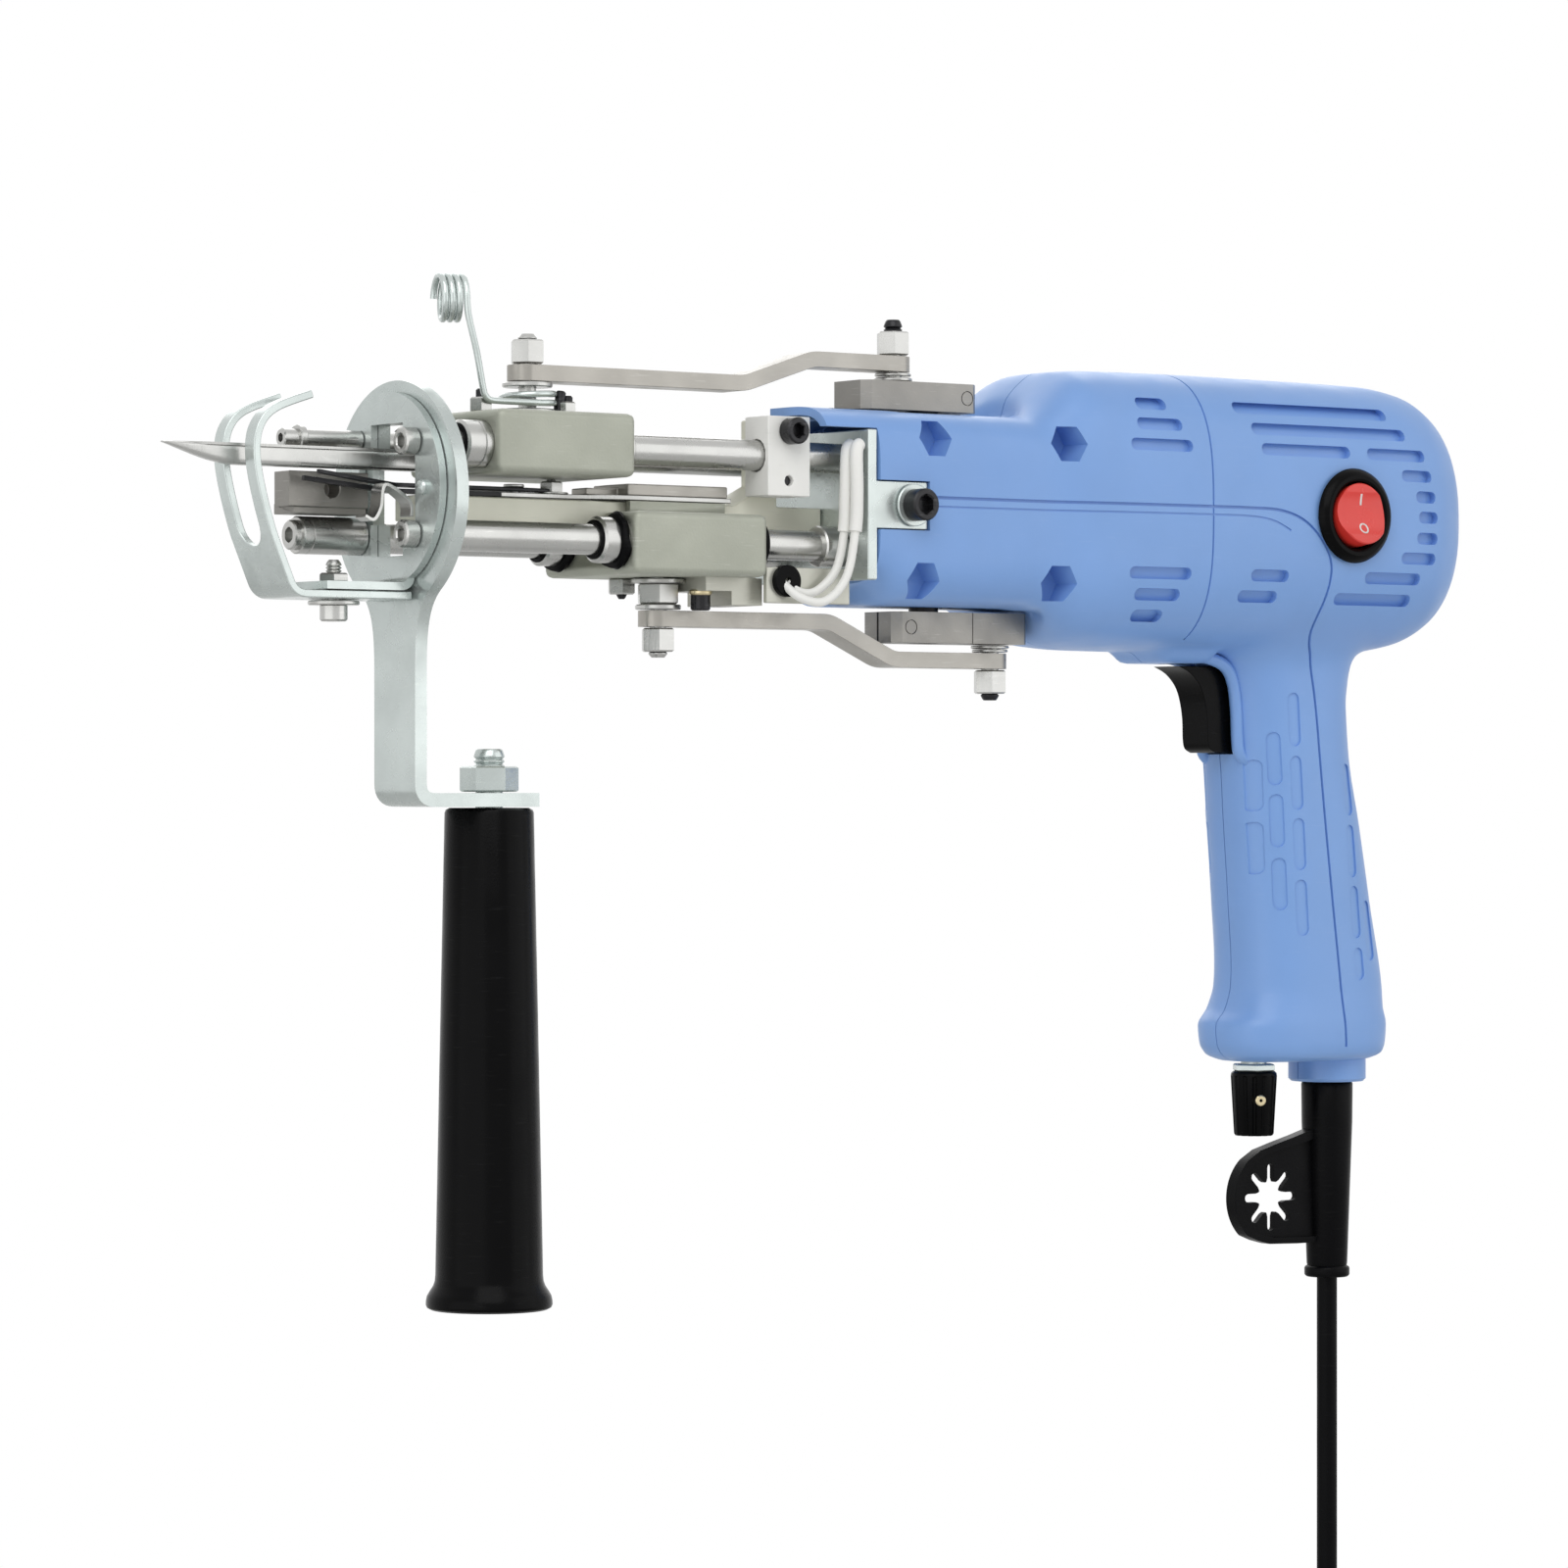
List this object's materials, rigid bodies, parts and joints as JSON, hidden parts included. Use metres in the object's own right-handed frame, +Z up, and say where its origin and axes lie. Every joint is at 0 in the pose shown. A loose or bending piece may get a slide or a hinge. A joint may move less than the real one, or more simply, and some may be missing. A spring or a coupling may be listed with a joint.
{
  "type": "handheld tufting machine",
  "caption": "Handheld electric tufting tool with pistol grip, reciprocating hollow needle and scissor blades on guide rods, forked presser foot, front grip and hanging mains lead.",
  "frame": {"origin": "middle of the pistol grip, on the seam plane of the casing", "axes": "+X to the rear along the guide rods, -Y to the side with the rocker switch, +Z up"},
  "size_m": [0.4158, 0.0705, 0.5671],
  "materials": {
    "casing": "satin blue moulded shell",
    "black_plastic": "black, satin",
    "cord_rubber": "black rubber sheath",
    "zinc": "bright zinc plated",
    "steel": "ground steel",
    "black_steel": "black oxide",
    "cast_metal": "matt cast and milled",
    "pale_metal": "pale nickel, satin",
    "white_plastic": "white, matt",
    "red_plastic": "red, glossy",
    "motor_can": "dull steel can"
  },
  "bodies": {
    "root": {"guide_rod_upper_near": "steel", "guide_rod_upper_far": "steel", "guide_rod_lower_near": "steel", "guide_rod_lower_far": "steel", "upper_bearing": "steel", "lower_bearing": "steel", "side_screw_near": "black_steel", "side_screw_far": "black_steel", "gearbox_plate": "zinc", "centre_beam": "pale_metal", "rod_clamp": "white_plastic", "rod_clamp_screw": "black_steel", "handle_bracket": "zinc", "front_plate": "zinc", "plate_screw_upper": "steel", "plate_screw_lower": "steel", "far_post_upper": "steel", "far_post_lower": "steel", "blade_block": "pale_metal", "leaf_strip": "steel", "foot_bolt": "zinc", "front_grip": "black_plastic", "grip_stud": "zinc", "casing_left": "casing", "casing_right": "casing", "motor": "motor_can", "switch_body": "black_plastic", "trigger_switch": "black_plastic", "speed_control": "zinc", "cord_boot": "black_plastic", "hank": "cord_rubber", "cord": "cord_rubber", "plug": "black_plastic", "cord_tie": "black_plastic", "lead_wire": "white_plastic"},
    "crank": {"crankshaft": "black_steel", "bevel_gear": "steel", "upper_crank_block": "pale_metal", "lower_crank_block": "pale_metal"},
    "rotor": {"motor_shaft": "steel"},
    "upper_slide": {"upper_block": "cast_metal", "upper_bush_near": "steel", "upper_bush_far": "steel", "needle": "steel", "upper_pivot_post": "steel", "yarn_guide": "steel"},
    "lower_slide": {"lower_block": "cast_metal", "lower_bush_near": "steel", "lower_bush_far": "steel", "lower_pivot_post": "steel", "fixed_blade": "black_steel"},
    "upper_link": {"upper_link": "pale_metal", "upper_crank_pin": "steel"},
    "lower_link": {"lower_link": "pale_metal", "lower_crank_pin": "steel"},
    "moving_blade": {"moving_blade": "black_steel"},
    "trigger": {"trigger": "black_plastic"},
    "rocker": {"rocker": "red_plastic"},
    "speed_knob": {"speed_knob": "black_plastic"},
    "presser_foot": {"presser_foot": "zinc"}
  },
  "joints": [
    {"name": "crank_turn", "type": "hinge", "parent": "root", "child": "crank", "pos_m": [-0.1298, 0, 0.095], "axis": [0, 0, 1], "range_deg": [0, 180]},
    {"name": "rotor_spin", "type": "hinge", "parent": "root", "child": "rotor", "pos_m": [-0.062, 0, 0.095], "axis": [1, 0, 0], "range_deg": [0, 541]},
    {"name": "upper_feed", "type": "slide", "parent": "root", "child": "upper_slide", "axis": [1, 0, 0], "range_m": [0, 0.02065]},
    {"name": "lower_feed", "type": "slide", "parent": "root", "child": "lower_slide", "axis": [-1, 0, 0], "range_m": [0, 0.04565]},
    {"name": "upper_link_swing", "type": "hinge", "parent": "upper_slide", "child": "upper_link", "pos_m": [-0.2578, 0, 0.126], "axis": [0, 0, 1], "range_deg": [-5, 5]},
    {"name": "lower_link_swing", "type": "hinge", "parent": "lower_slide", "child": "lower_link", "pos_m": [-0.217, 0, 0.064], "axis": [0, 0, 1], "range_deg": [-12, 12]},
    {"name": "blade_swing", "type": "hinge", "parent": "lower_slide", "child": "moving_blade", "pos_m": [-0.262, 0, 0.096], "axis": [0, 0, 1], "range_deg": [-6.02, 0]},
    {"name": "trigger_pull", "type": "slide", "parent": "root", "child": "trigger", "axis": [1, 0, 0], "range_m": [0, 0.006], "stiffness_N_per_m": 400, "springref_m": -0.004},
    {"name": "rocker_tilt", "type": "hinge", "parent": "root", "child": "rocker", "pos_m": [-0.0038, -0.0336, 0.0954], "axis": [1, 0, 0], "range_deg": [0, 18]},
    {"name": "speed_turn", "type": "hinge", "parent": "root", "child": "speed_knob", "pos_m": [-0.0124, 0, -0.07], "axis": [0, 0, 1], "range_deg": [0, 270]},
    {"name": "foot_slide", "type": "slide", "parent": "root", "child": "presser_foot", "axis": [-1, 0, 0], "range_m": [0, 0.006]}
  ],
  "couplings": [
    {"joint": "rotor_spin", "follows": "crank_turn", "ratio": 3},
    {"joint": "upper_feed", "follows": "crank_turn", "m_per_rad": 0.0065572},
    {"joint": "lower_feed", "follows": "crank_turn", "m_per_rad": 0.014515},
    {"joint": "blade_swing", "follows": "crank_turn", "ratio": -0.033333}
  ]
}
